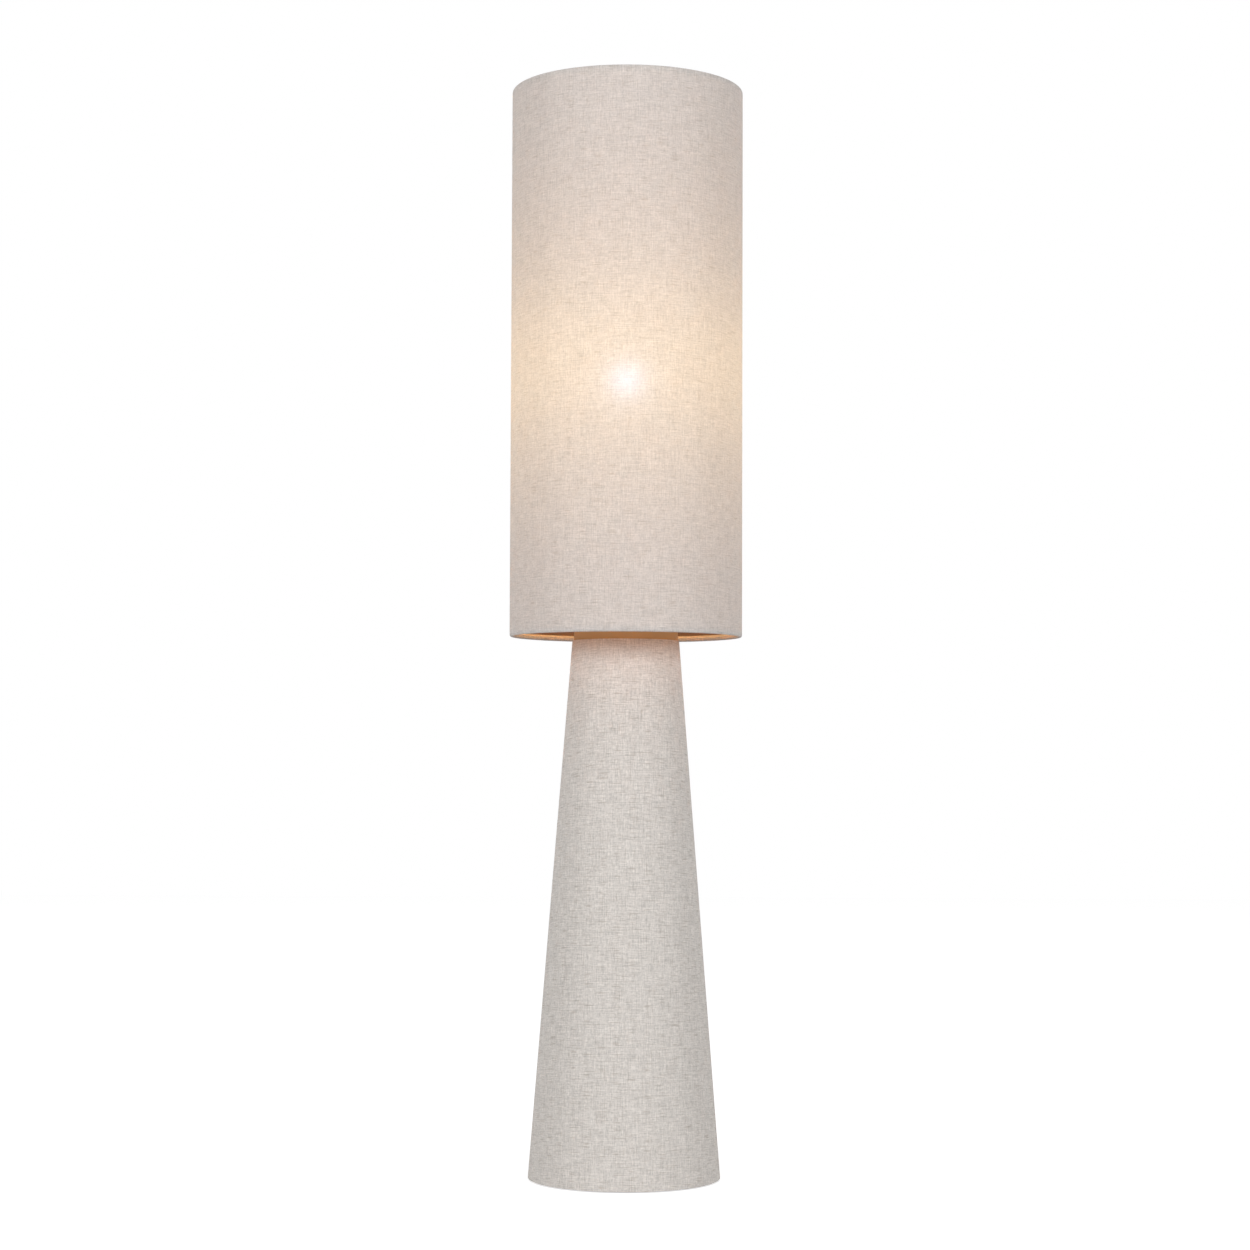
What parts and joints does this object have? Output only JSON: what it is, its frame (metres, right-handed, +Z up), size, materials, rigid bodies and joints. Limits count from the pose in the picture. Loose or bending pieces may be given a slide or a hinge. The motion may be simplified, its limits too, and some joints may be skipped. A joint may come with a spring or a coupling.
{
  "type": "column floor lamp",
  "caption": "Column floor lamp: a tall linen cylinder shade rests on the wooden neck of a weighted linen-covered conical base, with a bulb holder on a stem inside.",
  "frame": {"origin": "on the floor, under the middle of the lamp", "axes": "+Z up; -Y to the viewer; +Y the rear, where the cord gland is"},
  "size_m": [0.278, 0.278, 1.3],
  "materials": {
    "linen": "natural linen, plain weave, slubby, laminated to plastic sheet",
    "felt": "pressed wool felt",
    "liner": "translucent white laminating sheet",
    "plug_wood": "turned fibreboard, stained brown, matt lacquer",
    "board_wood": "raw fibreboard",
    "fibre": "vulcanised fibre sheet",
    "ballast_iron": "cast, painted black",
    "zinc_steel": "zinc plated",
    "white_wire": "white powder coat",
    "brass": "turned, lacquered",
    "holder_black": "moulded thermoset",
    "porcelain": "glazed",
    "gland_white": "moulded polyamide",
    "lead_brown": "PVC insulation",
    "lead_blue": "PVC insulation",
    "opal": "opal diffusing dome, lit warm white",
    "bulb_white": "moulded bulb body",
    "bulb_metal": "nickel plated screw cap",
    "black_glass": "insulating ring",
    "board_green": "white circuit board",
    "led_yellow": "phosphor"
  },
  "bodies": {
    "root": {"felt_pad": "felt", "base_board": "board_wood", "wiring_cover": "fibre", "wiring_cover_screws": "zinc_steel", "base_ballast": "ballast_iron", "ballast_screws": "zinc_steel", "threaded_tube": "zinc_steel", "tube_nuts": "zinc_steel", "tube_washers": "zinc_steel", "base_liner": "liner", "base_fabric": "linen", "base_former": "board_wood", "top_plug": "plug_wood", "stem_cup": "brass", "stem_sleeve": "white_wire", "holder_cap": "holder_black", "holder_grub_screw": "zinc_steel", "holder_skirt": "holder_black", "holder_insert": "porcelain", "holder_screw_shell": "brass", "holder_centre_contact": "brass", "holder_terminals": "brass", "holder_terminal_screws": "zinc_steel", "cord_gland": "gland_white", "gland_nut": "gland_white", "cord_grip": "gland_white", "cord_grip_screws": "zinc_steel", "terminal_block": "gland_white", "terminal_tubes": "brass", "terminal_block_screws": "zinc_steel", "lead_live": "lead_brown", "lead_neutral": "lead_blue"},
    "seat_washer": {"seat_washer": "felt"},
    "shade": {"shade_fabric": "linen", "shade_liner": "liner", "shade_top_ring": "white_wire", "shade_bottom_ring": "white_wire", "shade_hub": "white_wire", "shade_arms": "white_wire"},
    "bulb": {"bulb_globe": "opal", "bulb_body": "bulb_white", "bulb_cap": "bulb_metal", "bulb_insulator": "black_glass", "bulb_contact": "bulb_metal", "bulb_led_board": "board_green", "bulb_leds": "led_yellow", "bulb_driver_board": "board_green"}
  },
  "joints": [
    {"name": "shade_turn", "type": "hinge", "parent": "root", "child": "seat_washer", "pos_m": [0, 0, 0.648], "axis": [0, 0, 1], "continuous": true},
    {"name": "shade_lift", "type": "slide", "parent": "seat_washer", "child": "shade", "axis": [0, 0, 1], "range_m": [0, 0.36]},
    {"name": "bulb_out", "type": "slide", "parent": "root", "child": "bulb", "axis": [0, 0, 1], "range_m": [0, 0.43]}
  ]
}
